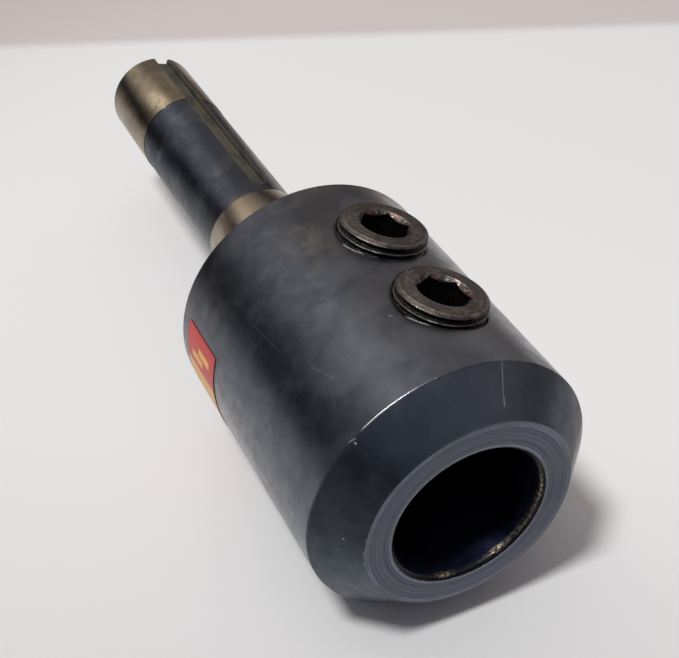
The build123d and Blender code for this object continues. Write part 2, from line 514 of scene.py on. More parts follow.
def black_oxide(name, body, screws, colours, marks=0.00022, depth=0.0000012, lift=0.0,
                coat=0.3, edge_tint=1.0):
    """Blackened steel: mottled blue-black with greyer patches, turning marks and worn edges, and
    painted shade and highlights.
    """
    make = Finish(name)
    radius, turn = around_axis(make)
    off_screws = from_screw_holes(make, screws)
    patches = patchy(make, 0.011, 0.42, 0.6)
    mottle = patchy(make, 0.0036, 0.38, 0.64, (0.3, 0.1, 0.2))
    grain = make.noise(0.0006, 3.0, 0.6)
    oxide_colour(make, body, colours, turn, off_screws, patches, mottle, grain)
    worn = oxide_wear_and_glints(make, body, screws, radius, turn)

    # dark dirt round the screws, and a painted black band for the shade in the gap beside them
    hole = screws.thread_diameter / 2
    dirt = make.span(off_screws, hole + 0.0002, hole + 0.0016, 0.6, 0.0)
    gap = make.span(off_screws, hole + 0.0003, hole + 0.0006, 1.0, 0.0)
    make.paint(make.most(make.times(dirt, mottle), gap), (0.015, 0.015, 0.015))
    # bright steel where worn, with the painted highlights and glints on the edges and the holes' rims
    make.paint(worn, (0.62, 0.62, 0.63))

    roughness = make.add(
        0.21 + lift, make.times(patches, 0.09), make.times(mottle, 0.08),
        make.times(grain, 0.08), make.times(worn, 0.22))
    normal = make.bump(make.lines(make.add(make.y, radius), marks), depth)
    normal = make.bump(make.noise(0.0009, 3.0, 0.55), 0.000003, normal)
    normal = make.bump(make.noise(0.005, 3.0, 0.55), 0.00001, normal)
    normal = make.bump(make.noise(0.016), 0.00005, normal)
    return make.done(roughness, normal, {
        "Metallic": 1.0, "Coat Weight": coat, "Coat Roughness": 0.25,
        "Specular Tint": (edge_tint, edge_tint, edge_tint, 1.0)})


def nose_face_oxide(name, body):
    """The faced ring round the bore: greyer, with fine rings left by the facing cut."""
    make = Finish(name)
    radius, turn = around_axis(make)
    rings = make.lines(radius, 0.0004, 3.0)
    broad = make.lines(radius, 0.0021, 1.0)
    patches = patchy(make, 0.009)
    make.colour = make.mix(
        make.span(rings, 0.38, 0.62), (0.088, 0.104, 0.144), (0.205, 0.222, 0.275))
    make.paint(make.span(broad, 0.42, 0.54), (0.066, 0.076, 0.105), 0.7)
    inner = make.near(radius, body.bore_diameter / 2 + 0.0021, 0.001)
    make.paint(inner, (0.05, 0.06, 0.085), 0.62)
    # painted shade: darker on the right, where the face reflects the shaded floor
    right = make.facing(turn, 105.0, 60.0)
    make.paint(right, (0.05, 0.058, 0.075), 0.5)
    make.paint(patches, (0.1, 0.108, 0.13), 0.6)
    ragged = make.span(make.noise(0.0012, 3.0, 0.65), 0.52, 0.7)
    mouth = make.near(radius, body.bore_diameter / 2 + body.bore_chamfer, 0.0003)
    rim = make.near(radius, body.head_diameter / 2 - body.nose_chamfer, 0.0003)
    worn = make.times(make.most(mouth, rim), make.add(0.25, ragged), 0.7)
    make.paint(worn, (0.5, 0.49, 0.46))
    roughness = make.add(0.28, make.times(rings, 0.14))
    normal = make.bump(rings, 0.000012)
    normal = make.bump(make.noise(0.0008, 3.0, 0.6), 0.000004, normal)
    return make.done(roughness, normal, {"Metallic": 0.92})


def bore_steel(name, body):
    """Nearly black inside the bore, with brassy rub marks round its mouth, brightest as painted
    glints on its right and lower side.
    """
    make = Finish(name)
    turn = around_axis(make)[1]
    patches = patchy(make, 0.012)
    make.colour = make.mix(patches, (0.02, 0.026, 0.075), (0.035, 0.042, 0.09))
    on_chamfer = make.span(make.y, body.bore_chamfer - 0.0002, body.bore_chamfer, 1.0, 0.0)
    make.paint(on_chamfer, (0.012, 0.013, 0.018))
    mouth = make.near(make.y, body.bore_chamfer + 0.0003, 0.00085)
    ragged = make.span(make.noise(0.00075, 4.0, 0.8), 0.46, 0.56)
    # rubs all round the mouth, with painted glints on the right and lower side where the lip catches
    # the light
    side = make.times(make.facing(turn, 90.0, 28.0), 0.95)
    lower_right = make.times(make.facing(turn, 152.0, 11.0), 1.6)
    lower_left = make.times(make.facing(turn, -165.0, 11.0), 1.4)
    between = make.times(make.facing(turn, 125.0, 60.0), 0.5)
    mouth_glint_sides = make.most(0.0, side, lower_right, lower_left, between)
    rubbed = make.math(
        "MINIMUM", make.times(mouth, make.add(make.times(mouth_glint_sides, ragged), 0.05)), 1.0)
    make.paint(rubbed, (0.78, 0.65, 0.42))
    marks = make.lines(make.y, 0.0003, 2.0)
    roughness = make.add(0.3, make.times(patches, 0.15))
    return make.done(roughness, make.bump(marks, 0.000003), {"Metallic": 0.95})


def ground_steel(name, body, colours):
    """Ground lands and taper: brown bronze, lighter and browner in patches, with fine rings, and
    painted highlights and shade.
    """
    make = Finish(name)
    turn = around_axis(make)[1]
    patches = patchy(make, 0.009, 0.36, 0.66)
    small = patchy(make, 0.0028, 0.4, 0.7, (0.2, 0.5, 0.1))
    grain = make.noise(0.0004, 3.0, 0.6)
    make.colour = make.mix(patches, colours.ground, shade(colours.ground, 0.62))
    make.paint(small, shade(colours.ground, 1.25), 0.4)
    make.paint(grain, (0.14, 0.11, 0.08), 0.3)
    # painted highlights: paler on the taper, and a lighter, rubbed patch along the rear land, where
    # the band of light shows
    taper_highlight = make.times(
        make.span(make.y, body.taper_start, body.relief_start, 0.0, 1.0),
        make.span(make.y, body.relief_start, body.relief_start + 0.001, 1.0, 0.0),
        make.facing(turn, -24.0, 30.0))
    rubbed = make.times(
        make.facing(turn, -27.0, 22.0), make.near(make.y, 0.1575, 0.009),
        make.span(make.noise(0.0016, 3.0, 0.7), 0.25, 0.55))
    pale = make.most(make.times(taper_highlight, 0.95), make.times(rubbed, 0.95))
    make.paint(pale, (0.95, 0.79, 0.56))
    # painted shade: darker down the rear land's left, where it reflects dark
    darkening = make.add(0.45, make.times(small, 0.5))
    land_left_shade = make.times(
        make.facing(turn, -60.0, 26.0),
        make.span(make.y, body.land_start, body.land_start + 0.004), darkening)
    make.paint(land_left_shade, (0.055, 0.05, 0.038))
    green = patchy(make, 0.013, 0.52, 0.66, (0.1, 0.2, 0.9))
    make.paint(green, (0.11, 0.12, 0.075), 0.35)
    # painted shade: a dark line in the corners at the steps, where the finish changes
    steps = make.most(
        make.near(make.y, body.relief_start, 0.0006), make.near(make.y, body.land_start, 0.0006))
    make.paint(steps, (0.06, 0.055, 0.05), 0.6)
    roughness = make.add(0.16, make.times(patches, 0.06), make.times(grain, 0.05))
    normal = make.bump(make.lines(make.y, 0.00012, 2.0), 0.0000006)
    normal = make.bump(make.noise(0.0006, 3.0, 0.6), 0.000001, normal)
    return make.done(roughness, normal, {
        "Metallic": 1.0, "Specular Tint": (0.9, 0.88, 0.86, 1.0)})


def shaded_hole_steel(name):
    """Nearly black steel in the tapped holes and their countersinks: painted shade for the dark gap
    round the screws.
    """
    make = Finish(name)
    patches = patchy(make, 0.004)
    make.colour = make.mix(patches, (0.007, 0.007, 0.008), (0.022, 0.02, 0.019))
    roughness = make.add(0.46, make.times(patches, 0.12))
    normal = make.bump(make.noise(0.0005, 2.0), 0.000004)
    return make.done(roughness, normal, {"Metallic": 0.9})


def keyway_steel(name):
    """Milled keyway: brown floor with the cutter's marks across it."""
    make = Finish(name)
    patches = patchy(make, 0.006)
    make.colour = make.mix(patches, (0.155, 0.145, 0.118), (0.105, 0.1, 0.086))
    cutter = make.lines(make.y, 0.0004, 2.0)
    roughness = make.add(0.58, make.times(cutter, 0.12))
    return make.done(roughness, make.bump(cutter, 0.000004), {"Metallic": 0.95})


def screw_bronze(name, screws, colours):
    """Set screws: dark bronze oxide, rubbed to red-brown and bright on the edges, with painted light,
    shade and glints.
    """
    make = Finish(name)
    across, along, height = make.parts(
        make.node("ShaderNodeAttribute", attribute_name=SCREW_PLACE).outputs["Vector"])
    radius = make.hypot(across, along)
    from_top = make.less(screws.screw_length, height)
    patches = patchy(make, 0.0038, 0.4, 0.62)
    red = patchy(make, 0.003, 0.5, 0.64, (0.4, 0.3, 0.6))
    grain = make.noise(0.00035, 3.0, 0.65)
    crust = patchy(make, 0.0012, 0.42, 0.6, (0.6, 0.2, 0.1))
    rings = make.lines(radius, 0.0006, 2.0)
    make.colour = make.mix(patches, colours.bronze, shade(colours.bronze, 0.42))
    make.paint(red, (0.2, 0.115, 0.095), 0.55)
    make.paint(
        make.times(make.span(rings, 0.4, 0.55), make.add(0.4, make.times(crust, 0.5))),
        shade(colours.bronze, 0.3))
    make.paint(crust, (0.045, 0.04, 0.036), 0.45)
    make.paint(make.span(grain, 0.45, 0.7, 0.0, 0.6), (0.06, 0.052, 0.046))

    turn = make.math("ARCTAN2", along, across)
    # painted light and shade: lighter on the screw's left, towards the lamp, and darker on its right
    lit = make.facing(make.math("ABSOLUTE", turn), 180.0, 75.0)
    shaded_side = make.facing(turn, 15.0, 70.0)
    make.paint(lit, shade(colours.bronze, 1.6), 0.2)
    make.paint(shaded_side, shade(colours.bronze, 0.45), 0.5)

    # the socket and the thread's roots keep their black
    crest = screws.thread_diameter / 2 - screws.running_gap
    mouth_radius = screws.mouth_width / 2
    on_mouth = make.times(
        make.span(radius, mouth_radius - 0.0002, mouth_radius, 1.0, 0.0),
        make.span(from_top, 0.0, 0.0002))
    deep = make.times(on_mouth, make.span(from_top, 0.002, 0.0055))
    roots = make.times(
        make.span(radius, crest - 0.0003, crest - 0.0001, 1.0, 0.0),
        make.span(from_top, 0.0006, 0.0009))
    flecks = make.span(make.noise(0.0009, 3.0, 0.75), 0.53, 0.6)
    make.paint(on_mouth, (0.045, 0.04, 0.038), 0.85)
    make.paint(make.times(on_mouth, red, 0.7), (0.19, 0.085, 0.07))
    make.paint(make.times(on_mouth, flecks, 0.55), (0.5, 0.42, 0.38))
    make.paint(make.most(deep, roots), (0.018, 0.017, 0.016), 0.9)

    # rubbed edges: rim, socket mouth and thread crests
    ragged = make.span(make.noise(0.0007, 3.0, 0.7), 0.46, 0.62)
    rim = make.near(radius, crest - screws.rim_chamfer, 0.0003)
    mouth = make.near(radius, mouth_radius, 0.0003)
    edges = make.times(make.most(rim, mouth), ragged, 0.3)
    make.paint(edges, (0.5, 0.43, 0.38))
    # bare steel on the thread crests, with a painted glint on the side towards the nose and the lamp
    crest_glint_side = make.facing(turn, -130.0, 50.0)
    crests = make.times(make.span(radius, crest - 0.00016, crest - 0.00004),
                        make.span(from_top, 0.0009, 0.0012))
    long_patches = make.span(make.noise(0.003, 2.0), 0.42, 0.56)
    bright = make.times(crests, make.add(0.15, make.times(crest_glint_side, long_patches, 0.8)))
    make.paint(bright, (0.78, 0.76, 0.73))
    roughness = make.add(
        0.27, make.times(grain, 0.25), make.times(patches, 0.1), make.times(bright, 0.12))
    chips = make.times(bright, make.noise(0.0009, 4.0, 0.75))
    normal = make.bump(rings, 0.00002)
    normal = make.bump(make.noise(0.0011, 4.0, 0.75), 0.00014, normal)
    normal = make.bump(chips, 0.0002, normal)
    return make.done(roughness, normal, {"Metallic": 1.0})


def label_vinyl(name, label, colours):
    """Red vinyl with plain yellow bars, a little faded and scuffed."""
    make = Finish(name)
    u, v, _ = make.parts(make.node("ShaderNodeUVMap", uv_map="label").outputs[0])
    # distances in metres from the label's top edge and from its near edge
    down, over = make.times(u, label.wrap), make.times(v, label.width)
    soft = 0.00012

    def bar(value, low, high):
        return make.times(
            make.span(value, low - soft, low + soft),
            make.span(value, high - soft, high + soft, 1.0, 0.0))

    # two short bars side by side in steps at each end, and a broad band across the middle
    bar_height, bar_width = 0.0018, 0.0058
    near_side, far_side = 0.0028, 0.0064

    def block(top, height, left, width):
        return make.times(bar(down, top, top + height), bar(over, left, left + width))

    yellow = make.most(
        0.0, block(0.0034, bar_height, near_side, bar_width),
        block(0.0058, bar_height, far_side, bar_width), block(0.0092, 0.0136, -0.001, 0.017),
        block(0.0244, bar_height, near_side, bar_width),
        block(0.0268, bar_height, far_side, bar_width))
    fade = make.noise(0.006, 3.0, 0.6)
    red = make.mix(fade, shade(colours.label_red, 0.85), shade(colours.label_red, 1.2))
    make.colour = make.mix(yellow, red, colours.label_yellow)
    specks = make.span(make.noise(0.0005, 2.0, 0.6), 0.66, 0.72)
    make.paint(specks, (0.25, 0.05, 0.04), 0.35)
    # painted shade: a darker line round the label's edge, for the shadow along it
    rim = make.most(
        make.span(u, 0.0, 0.02, 1.0, 0.0), make.span(u, 0.98, 1.0),
        make.span(v, 0.0, 0.035, 1.0, 0.0), make.span(v, 0.965, 1.0))
    make.paint(rim, (0.2, 0.02, 0.02), 0.7)
    roughness = make.add(0.26, make.times(fade, 0.16))
    normal = make.bump(make.noise(0.0025, 2.0), 0.00003)
    return make.done(roughness, normal, {"Specular IOR Level": 0.33})


def floor_surface(name, colours, edge_point, edge_turn):
    """Pale floor that turns grey past its far edge."""
    make = Finish(name)
    beyond = make.add(
        make.times(make.less(make.y, edge_point[1]), cos(edge_turn)),
        make.times(make.less(make.x, edge_point[0]), -sin(edge_turn)))
    near_floor = make.mix(make.noise(0.25, 2.0), colours.floor, shade(colours.floor, 0.97))
    make.colour = make.mix(make.span(beyond, -0.003, 0.006), near_floor, colours.beyond)
    normal = make.bump(make.noise(0.004, 3.0), 0.00002)
    # past the lamp's pool of light, the camera sees the floor run into the backdrop
    outside = make.span(
        make.hypot(make.less(make.x, POOL_X), make.less(make.y, POOL_Y)),
        POOL_FADE_START, POOL_RADIUS)
    seen = make.node("ShaderNodeLightPath").outputs["Is Camera Ray"]
    backdrop = make.node("ShaderNodeEmission")
    make.put(backdrop.inputs["Color"], colours.beyond)
    blend = make.node("ShaderNodeMixShader")
    make.put(blend.inputs[0], make.times(outside, seen))
    make.put(blend.inputs[1], make.shader.outputs[0])
    make.put(blend.inputs[2], backdrop.outputs[0])
    make.put(make.output.inputs["Surface"], blend.outputs[0])
    return make.done(0.6, normal, {"Specular IOR Level": 0.25})


# Mesh building

SCREW_PLACE = "screw_place"
# columns of a frame whose own Z runs along the holder's axis
ALONG_AXIS = Matrix(((1, 0, 0, 0), (0, 0, 1, 0), (0, -1, 0, 0), (0, 0, 0, 1)))


def screw_frame(screws, along, height):
    """A frame at a side screw, with its own Z out of the head and its own Y along the axis."""
    lean = screws.side_angle
    out = Vector((sin(lean), 0, cos(lean)))
    across = Vector((cos(lean), 0, -sin(lean)))
    at = AXIS * along + out * height
    return Matrix.Translation(at) @ Matrix((across, AXIS, out)).transposed().to_4x4()


def new_object(name, mesh, materials=()):
    made = bpy.data.objects.new(name, mesh)
    bpy.context.scene.collection.objects.link(made)
    for material in materials:
        mesh.materials.append(material)
    return made


def rounded(corners, steps=4):
    """An outline's points with each corner rounded, and the surface that each run belongs to.

    A corner is (radius, height, rounding, surface of the run that starts there).
    """
    points, surfaces = [], []
    for index, (radius, height, rounding, surface) in enumerate(corners):
        corner = Vector((radius, height))
        ends = 0 < index < len(corners) - 1
        if not rounding or not ends:
            points.append(corner)
            surfaces.append(surface)
            continue
        back = Vector(corners[index - 1][:2]) - corner
        onward = Vector(corners[index + 1][:2]) - corner
        half = back.angle(onward) / 2
        back.normalize()
        onward.normalize()
        run = rounding / tan(half)
        centre = corner + (back + onward).normalized() * (rounding / sin(half))
        first, last = corner + back * run - centre, corner + onward * run - centre
        sweep = first.angle_signed(last)
        for step in range(steps + 1):
            turn = -sweep * step / steps
            spoke = Vector((
                first.x * cos(turn) - first.y * sin(turn),
                first.x * sin(turn) + first.y * cos(turn)))
            points.append(centre + spoke)
            surfaces.append(surface)
    return points, surfaces


def turned(name, corners, steps_round, frame_matrix, materials=(), steps=4):
    """A closed solid of revolution round its frame's own Z."""
    points, surfaces = rounded(corners, steps)
    mesh = bpy.data.meshes.new(name)
    shell = bmesh.new()
    loops = []
    for point in points:
        if point.x < ON_AXIS:
            loops.append([shell.verts.new((0, 0, point.y))] * steps_round)
            continue
        loops.append([
            shell.verts.new((
                point.x * cos(2 * pi * step / steps_round),
                point.x * sin(2 * pi * step / steps_round), point.y))
            for step in range(steps_round)])
    for (first, second), surface in zip(pairwise(loops), surfaces):
        for step in range(steps_round):
            after = (step + 1) % steps_round
            ring = [first[step], first[after], second[after], second[step]]
            face = shell.faces.new(dict.fromkeys(ring))
            face.material_index = surface
    finish_shell(shell, mesh, frame_matrix)
    return new_object(name, mesh, materials)


def finish_shell(shell, mesh, frame_matrix):
    """Moves a shell to its frame, turns its faces outwards and writes it to the mesh."""
    bmesh.ops.transform(shell, matrix=frame_matrix, verts=shell.verts)
    bmesh.ops.recalc_face_normals(shell, faces=shell.faces)
    shell.to_mesh(mesh)
    shell.free()
    mesh.shade_smooth()


def lofted(name, loops, frame_matrix, materials=(), surface=0):
    """A closed solid through loops of equally many points, each from the bottom up."""
    mesh = bpy.data.meshes.new(name)
    shell = bmesh.new()
    rings = [[shell.verts.new(point) for point in loop] for loop in loops]
    count = len(rings[0])
    for first, second in pairwise(rings):
        for step in range(count):
            after = (step + 1) % count
            shell.faces.new((first[step], first[after], second[after], second[step]))
    shell.faces.new(rings[0])
    shell.faces.new(rings[-1])
    for face in shell.faces:
        face.material_index = surface
    finish_shell(shell, mesh, frame_matrix)
    return new_object(name, mesh, materials)


def as_plain_mesh(piece):
    """Turns a piece's modifiers into its mesh."""
    graph = bpy.context.evaluated_depsgraph_get()
    plain = bpy.data.meshes.new_from_object(piece.evaluated_get(graph))
    piece.modifiers.clear()
    old, piece.data = piece.data, plain
    plain.name = piece.name
    bpy.data.meshes.remove(old)


def combine(piece, tool, operation="DIFFERENCE"):
    """Cuts the piece with a tool, or keeps what both hold, and removes the tool."""
    modifier = piece.modifiers.new("cut", "BOOLEAN")
    modifier.operation = operation
    modifier.solver = "EXACT"
    modifier.object = tool
    modifier.material_mode = "TRANSFER"
    as_plain_mesh(piece)
    used = tool.data
    bpy.data.objects.remove(tool)
    bpy.data.meshes.remove(used)


def tidy_mesh(piece):
    """Welds doubled points, drops slivers and marks the edges that stay sharp."""
    shell = bmesh.new()
    shell.from_mesh(piece.data)
    bmesh.ops.remove_doubles(shell, verts=shell.verts, dist=WELD_DISTANCE)
    bmesh.ops.dissolve_degenerate(shell, edges=shell.edges, dist=SLIVER_WIDTH)
    stray = [edge for edge in shell.edges if not edge.link_faces]
    bmesh.ops.delete(shell, geom=stray, context="EDGES")
    stray = [vert for vert in shell.verts if not vert.link_faces]
    bmesh.ops.delete(shell, geom=stray, context="VERTS")
    shell.to_mesh(piece.data)
    shell.free()
    piece.data.shade_smooth()
    piece.data.set_sharp_from_angle(angle=radians(28.0))


def thread_tree():
    """Geometry nodes for a threaded rod round its own Z, closed at both ends."""
    tree = bpy.data.node_groups.new("Threaded rod", "GeometryNodeTree")
    for name, kind in (
        ("Geometry", "NodeSocketGeometry"), ("Crest radius", "NodeSocketFloat"),
        ("Root radius", "NodeSocketFloat"), ("Pitch", "NodeSocketFloat"),
        ("Turns", "NodeSocketInt"), ("Steps a turn", "NodeSocketInt"),
        ("Base height", "NodeSocketFloat"), ("Material", "NodeSocketMaterial"),
    ):
        tree.interface.new_socket(name, in_out="INPUT", socket_type=kind)
    tree.interface.new_socket("Geometry", in_out="OUTPUT", socket_type="NodeSocketGeometry")
    given = tree.nodes.new("NodeGroupInput").outputs
    link = tree.links.new

    def node(kind, inputs=(), **settings):
        made = tree.nodes.new(kind)
        for key, value in settings.items():
            setattr(made, key, value)
        for key, value in dict(inputs).items():
            if isinstance(value, bpy.types.NodeSocket):
                link(value, made.inputs[key])
            else:
                made.inputs[key].default_value = value
        return made

    def sum_of(operation, *values):
        return node("ShaderNodeMath", enumerate(values), operation=operation).outputs[0]

    # a flat grid: X follows the helix, and Y crosses one pitch in sixteenths
    samples = sum_of("ADD", sum_of("MULTIPLY", given["Turns"], given["Steps a turn"]), 1.0)
    grid = node("GeometryNodeMeshGrid", {
        "Size X": 1.0, "Size Y": 1.0, "Vertices X": samples, "Vertices Y": 17})
    flat = node("ShaderNodeSeparateXYZ", {0: node("GeometryNodeInputPosition").outputs[0]})
    turns = sum_of("MULTIPLY", sum_of("ADD", flat.outputs[0], 0.5), given["Turns"])
    cross = sum_of("ADD", flat.outputs[1], 0.5)
    # the crest is an eighth of the pitch, the root a quarter and the flanks stand at 60 degrees
    off_crest = sum_of("ABSOLUTE", sum_of("SUBTRACT", cross, 0.5))
    flank = node("ShaderNodeMapRange", {
        "Value": off_crest, "From Min": 1 / 16, "From Max": 6 / 16,
        "To Min": given["Crest radius"], "To Max": given["Root radius"]}).outputs[0]
    turn = sum_of("MULTIPLY", turns, 2 * pi)
    height = sum_of("ADD", sum_of("MULTIPLY", sum_of("ADD", turns, cross), given["Pitch"]),
                    given["Base height"])
    spiral = node("ShaderNodeCombineXYZ", {
        0: sum_of("MULTIPLY", flank, sum_of("COSINE", turn)),
        1: sum_of("MULTIPLY", flank, sum_of("SINE", turn)), 2: height}).outputs[0]
    wound = node("GeometryNodeSetPosition", {
        "Geometry": grid.outputs["Mesh"], "Position": spiral}).outputs[0]
    welded = node("GeometryNodeMergeByDistance", {"Geometry": wound, "Distance": 1e-6}).outputs[0]

    # the open rims are drawn in to points on the axis
    single = node("FunctionNodeCompare", {
        2: node("GeometryNodeInputMeshEdgeNeighbors").outputs[0], 3: 1},
        data_type="INT", operation="EQUAL").outputs[0]
    drawn = node("GeometryNodeExtrudeMesh", {
        "Mesh": welded, "Selection": single, "Offset Scale": 0.0}, mode="EDGES")
    whole = sum_of("MULTIPLY", sum_of("ADD", given["Turns"], 1.0), given["Pitch"])
    middle = sum_of("ADD", given["Base height"], sum_of("MULTIPLY", whole, 0.5))
    level = node("ShaderNodeSeparateXYZ", {
        0: node("GeometryNodeInputPosition").outputs[0]}).outputs[2]
    above = node("FunctionNodeCompare", {0: level, 1: middle},
                 data_type="FLOAT", operation="GREATER_THAN").outputs[0]
    end = node("GeometryNodeSwitch", {
        0: above, 1: given["Base height"],
        2: sum_of("ADD", given["Base height"], whole)}, input_type="FLOAT").outputs[0]
    closed = node("GeometryNodeSetPosition", {
        "Geometry": drawn.outputs["Mesh"], "Selection": drawn.outputs["Top"],
        "Position": node("ShaderNodeCombineXYZ", {2: end}).outputs[0]}).outputs[0]
    closed = node("GeometryNodeMergeByDistance", {
        "Geometry": closed, "Distance": 1e-6}).outputs[0]
    real = node("GeometryNodeRealizeInstances", {"Geometry": closed}).outputs[0]
    painted = node("GeometryNodeSetMaterial", {
        "Geometry": real, "Material": given["Material"]}).outputs[0]
    link(painted, tree.nodes.new("NodeGroupOutput").inputs[0])
    return tree


def threaded_rod(name, frame_matrix, material, **inputs):
    """A threaded rod made by the tree, as a plain closed mesh in its frame."""
    tree = bpy.data.node_groups.get("Threaded rod") or thread_tree()
    rod = new_object(name, bpy.data.meshes.new(name))
    modifier = rod.modifiers.new("thread", "NODES")
    modifier.node_group = tree
    inputs["Material"] = material
    for socket in tree.interface.items_tree:
        if socket.in_out == "INPUT" and socket.name.replace(" ", "_") in inputs:
            modifier[socket.identifier] = inputs[socket.name.replace(" ", "_")]
    as_plain_mesh(rod)
    shell = bmesh.new()
    shell.from_mesh(rod.data)
    finish_shell(shell, rod.data, frame_matrix)
    return rod


# Pieces

HEAD, NOSE, BORE, GROUND, RELIEF, HOLE, KEYWAY, CHAMFER = range(8)


def body_corners(body):
    """The holder's turned outline, from the bore's drilled end round to the drawbar hole's."""
    bore, head = body.bore_diameter / 2, body.head_diameter / 2
    drilled = bore - body.bore_shoulder
    neck, small = body.taper_big / 2, body.taper_small / 2
    relief, land = body.relief_diameter / 2, body.land_diameter / 2
    drill, sink = body.drawbar_drill / 2, body.drawbar_diameter / 2 + body.drawbar_sink
    slope, fine = tan(body.drill_point / 2), body.fine_break
    end, drill_end = body.shank_end, body.shank_end - body.drawbar_drill_depth
    return [
        (0.0, body.bore_depth + drilled / slope, 0.0, BORE),
        (drilled, body.bore_depth, fine, BORE),
        (bore, body.bore_depth, 2 * fine, BORE),
        (bore, body.bore_chamfer, fine, BORE),
        (bore + body.bore_chamfer, 0.0, fine, NOSE),
        (head - body.nose_chamfer, 0.0, body.edge_break, CHAMFER),
        (head, body.nose_chamfer, body.edge_break, HEAD),
        (head, body.head_length - body.back_chamfer, fine, HEAD),
        (head - body.back_chamfer, body.head_length, fine, HEAD),
        (neck, body.head_length, body.neck_fillet, GROUND),
        (neck, body.taper_start, 4 * fine, GROUND),
        (small, body.relief_start, fine, GROUND),
        (relief, body.relief_start, fine, RELIEF),
        (relief, body.land_start, fine / 2, GROUND),
        (land, body.land_start, fine / 2, GROUND),
        (land, end - body.end_chamfer, fine, GROUND),
        (land - body.end_chamfer, end, fine, GROUND),
        (sink, end, fine, HOLE),
        (drill, end - (sink - drill), fine, HOLE),
        (drill, drill_end, 0.0, HOLE),
        (0.0, drill_end - drill / slope, 0.0, HOLE),
    ]


def screw_hole_tool(screws, head_radius, along, materials):
    """What a side screw's hole takes out of the head: a plain hole of the thread's size, with a
    countersink.
    """
    hole = screws.thread_diameter / 2
    sink_start = head_radius - screws.sink_rise
    above = head_radius + 3 * MILLIMETRE
    inside = head_radius / 4
    return turned("hole tool", [
        (0.0, inside, 0.0, HOLE),
        (hole, inside, 0.0, HOLE),
        (hole, sink_start, 0.0, HOLE),
        (hole + above - sink_start, above, 0.0, HOLE),
        (0.0, above, 0.0, HOLE),
    ], SCREW_STEPS, screw_frame(screws, along, 0.0), materials)


def keyway_tool(body, screws, materials):
    """What the keyway takes out of the shank: a slot with a round end and broken edges."""
    land, relief = body.land_diameter / 2, body.relief_diameter / 2
    half = body.keyway_width / 2
    start = body.shank_end - body.keyway_length + half
    floor = land - body.keyway_depth
    wall_edge = sqrt(relief ** 2 - half ** 2)
    break_size = 0.13 * MILLIMETRE
    step_in = 0.01 * MILLIMETRE
    root = 0.15 * MILLIMETRE
    rise = 2 * MILLIMETRE
    levels = (
        (floor, -root), (floor + root, 0.0), (wall_edge - break_size, 0.0),
        (wall_edge - break_size + rise, rise))
    end_steps = 12
    loops = []
    for height, wider in levels:
        lifted = land - relief if wider > 0 or height > floor + root else 0.0
        width = half + wider
        loop = [(width, body.shank_end + rise, height + lifted),
                (width, body.land_start + step_in, height + lifted),
                (width, body.land_start - step_in, height)]
        for step in range(end_steps + 1):
            turn = -pi * step / end_steps
            loop.append((width * cos(turn), start + width * sin(turn), height))
        loop += [(-width, body.land_start - step_in, height),
                 (-width, body.land_start + step_in, height + lifted),
                 (-width, body.shank_end + rise, height + lifted)]
        loops.append(loop)
    return lofted("keyway tool", loops, screw_frame(screws, 0.0, 0.0), materials, KEYWAY)


def make_body(body, screws, colours):
    """The holder body: head, neck, taper and shank in one piece."""
    materials = [
        black_oxide("Black oxide head", body, screws, colours),
        nose_face_oxide("Faced nose", body),
        bore_steel("Bore", body),
        ground_steel("Ground lands", body, colours),
        black_oxide("Black oxide relief", body, screws, colours, 0.0003, 0.000002, -0.05,
                    coat=0.2, edge_tint=0.6),
        shaded_hole_steel("Tapped holes"),
        keyway_steel("Keyway"),
        black_oxide("Black oxide chamfer", body, screws, colours, coat=0.08, edge_tint=0.8),
    ]
    piece = turned("end_mill_holder_body", body_corners(body), body.steps_round, ALONG_AXIS,
                   materials)
    for along in (screws.front_along, screws.rear_along):
        combine(piece, screw_hole_tool(screws, body.head_diameter / 2, along, materials))
    combine(piece, keyway_tool(body, screws, materials))
    turns = round((body.drawbar_length + body.drawbar_sink) / body.drawbar_pitch)
    start = body.shank_end - body.drawbar_length
    tap = threaded_rod(
        "drawbar tap", ALONG_AXIS, materials[HOLE],
        Crest_radius=body.drawbar_diameter / 2,
        Root_radius=body.drawbar_diameter / 2 - HOLE_THREAD_DEPTH * body.drawbar_pitch,
        Pitch=body.drawbar_pitch, Turns=turns, Steps_a_turn=72, Base_height=start)
    combine(piece, tap)
    tidy_mesh(piece)
    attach(piece, "holder")
    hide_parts("holder_body")


def hex_tool(screws, key_turn, frame_matrix):
    """What a hex socket takes out of a screw."""
    corner = screws.key_flats / 2 / cos(radians(30.0))
    # three points at each corner, so that it is a little blunt
    easing, at_corner, beside_corner = radians(1.6), 0.9945, 0.992
    bottom, top = -screws.socket_depth, MILLIMETRE
    ring = []
    for side in range(6):
        middle = key_turn + side * radians(60.0)
        for turn, reach in ((-easing, beside_corner), (0.0, at_corner), (easing, beside_corner)):
            ring.append((corner * reach * cos(middle + turn), corner * reach * sin(middle + turn)))
    loops = [[(x, y, height) for x, y in ring] for height in (bottom, top)]
    return lofted("hex tool", loops, frame_matrix)


